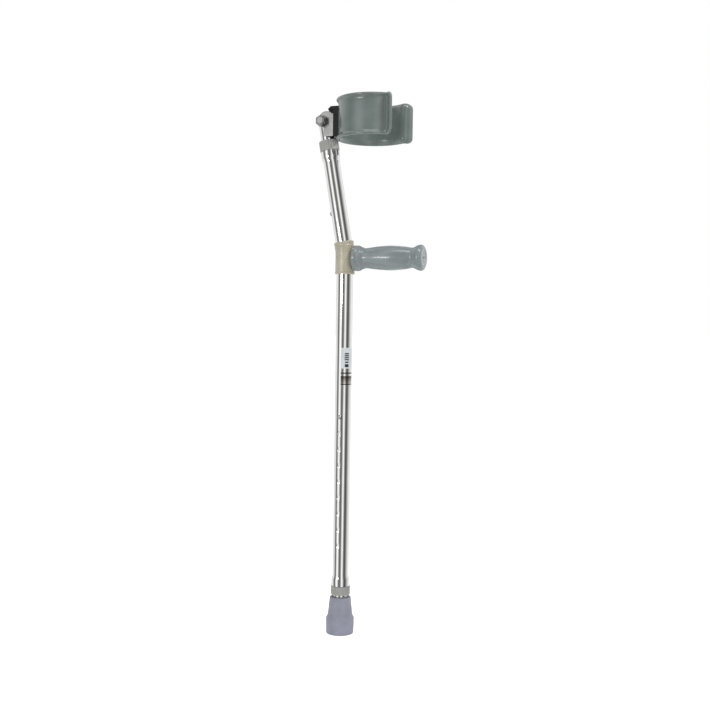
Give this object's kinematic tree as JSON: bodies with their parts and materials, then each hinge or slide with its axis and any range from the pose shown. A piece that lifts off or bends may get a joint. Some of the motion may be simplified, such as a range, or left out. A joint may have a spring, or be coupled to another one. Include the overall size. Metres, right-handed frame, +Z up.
{
  "type": "forearm crutch",
  "caption": "Height-adjustable forearm crutch: bent tube, open hinged cuff, horizontal grip, locking nuts and a rubber tip.",
  "frame": {"origin": "centre of the rubber tip's bottom face", "axes": "+Z up along the lower tube, +X along the hand grip towards its free end"},
  "size_m": [0.1784, 0.1144, 0.84],
  "materials": {
    "chrome_tube": "bright polished anodised tube",
    "zinc_steel": "bright plated steel",
    "spring_steel": "plain spring steel",
    "tip_rubber": "matte grey-blue rubber",
    "nut_plastic": "matte grey moulded plastic",
    "bracket_plastic": "satin beige moulded plastic",
    "grip_plastic": "semi-gloss grey-green moulded grip",
    "cuff_vinyl": "semi-gloss grey-green vinyl coating",
    "black_plastic": "satin black plastic",
    "white_plastic": "natural white nylon",
    "label_film": "printed film label"
  },
  "bodies": {
    "frame": {"main_tube": "chrome_tube", "tube_label": "label_film", "leg_collet": "white_plastic", "cuff_collet": "white_plastic", "handle_bracket": "bracket_plastic", "handle_grip": "grip_plastic", "handle_end_cap": "nut_plastic", "handle_core": "spring_steel", "handle_washer": "zinc_steel", "handle_bolt": "zinc_steel", "handle_nut": "zinc_steel"},
    "leg": {"leg_tube": "chrome_tube", "leg_end_plug": "white_plastic", "leg_button_spring": "spring_steel", "tip_washer": "zinc_steel", "tip_rubber": "tip_rubber"},
    "leg_button": {"leg_snap_button": "zinc_steel"},
    "leg_wedge": {"leg_wedge_ring": "white_plastic"},
    "leg_nut": {"leg_lock_nut": "nut_plastic"},
    "cuff_post": {"cuff_tube": "chrome_tube", "cuff_end_plug": "white_plastic", "cuff_button_spring": "spring_steel", "pivot_plug": "black_plastic"},
    "cuff_button": {"cuff_snap_button": "zinc_steel"},
    "cuff_wedge": {"cuff_wedge_ring": "white_plastic"},
    "cuff_nut": {"cuff_lock_nut": "nut_plastic"},
    "cuff": {"cuff_bracket": "zinc_steel", "cuff_spacer": "black_plastic", "pivot_bolt": "zinc_steel", "pivot_nut": "zinc_steel", "pivot_washers": "zinc_steel", "cuff_band": "spring_steel", "cuff_cover": "cuff_vinyl", "cuff_rivets": "zinc_steel"}
  },
  "joints": [
    {"name": "leg_slide", "type": "slide", "parent": "frame", "child": "leg", "axis": [0, 0, -1], "range_m": [0, 0.2032], "deforming": ["leg_snap_button"]},
    {"name": "leg_button_press", "type": "slide", "parent": "leg", "child": "leg_button", "axis": [0, 1, 0], "range_m": [0, 0.0045], "stiffness_N_per_m": 1200, "springref_m": -0.001, "deforming": ["leg_button_spring"]},
    {"name": "leg_nut_travel", "type": "slide", "parent": "frame", "child": "leg_wedge", "axis": [0, 0, -1], "range_m": [0, 0.002]},
    {"name": "leg_nut_turn", "type": "hinge", "parent": "leg_wedge", "child": "leg_nut", "pos_m": [0, 0, 0.0758], "axis": [0, 0, -1], "range_deg": [0, 360]},
    {"name": "cuff_slide", "type": "slide", "parent": "frame", "child": "cuff_post", "axis": [-0.1745, 0, 0.9847], "range_m": [0, 0.0762], "deforming": ["cuff_snap_button"]},
    {"name": "cuff_button_press", "type": "slide", "parent": "cuff_post", "child": "cuff_button", "axis": [0.9847, 0, 0.1745], "range_m": [0, 0.0045], "stiffness_N_per_m": 1200, "springref_m": -0.001, "deforming": ["cuff_button_spring"]},
    {"name": "cuff_nut_travel", "type": "slide", "parent": "frame", "child": "cuff_wedge", "axis": [-0.1745, 0, 0.9847], "range_m": [0, 0.002]},
    {"name": "cuff_nut_turn", "type": "hinge", "parent": "cuff_wedge", "child": "cuff_nut", "pos_m": [-0.02801, 0, 0.76304], "axis": [-0.1745, 0, 0.9847], "range_deg": [0, 360]},
    {"name": "cuff_pivot", "type": "hinge", "parent": "cuff_post", "child": "cuff", "pos_m": [-0.03598, 0, 0.80804], "axis": [0, 1, 0], "range_deg": [-35, 0]}
  ],
  "couplings": [
    {"joint": "leg_nut_turn", "follows": "leg_nut_travel", "rad_per_m": 3141.6},
    {"joint": "cuff_nut_turn", "follows": "cuff_nut_travel", "rad_per_m": 3141.6}
  ]
}
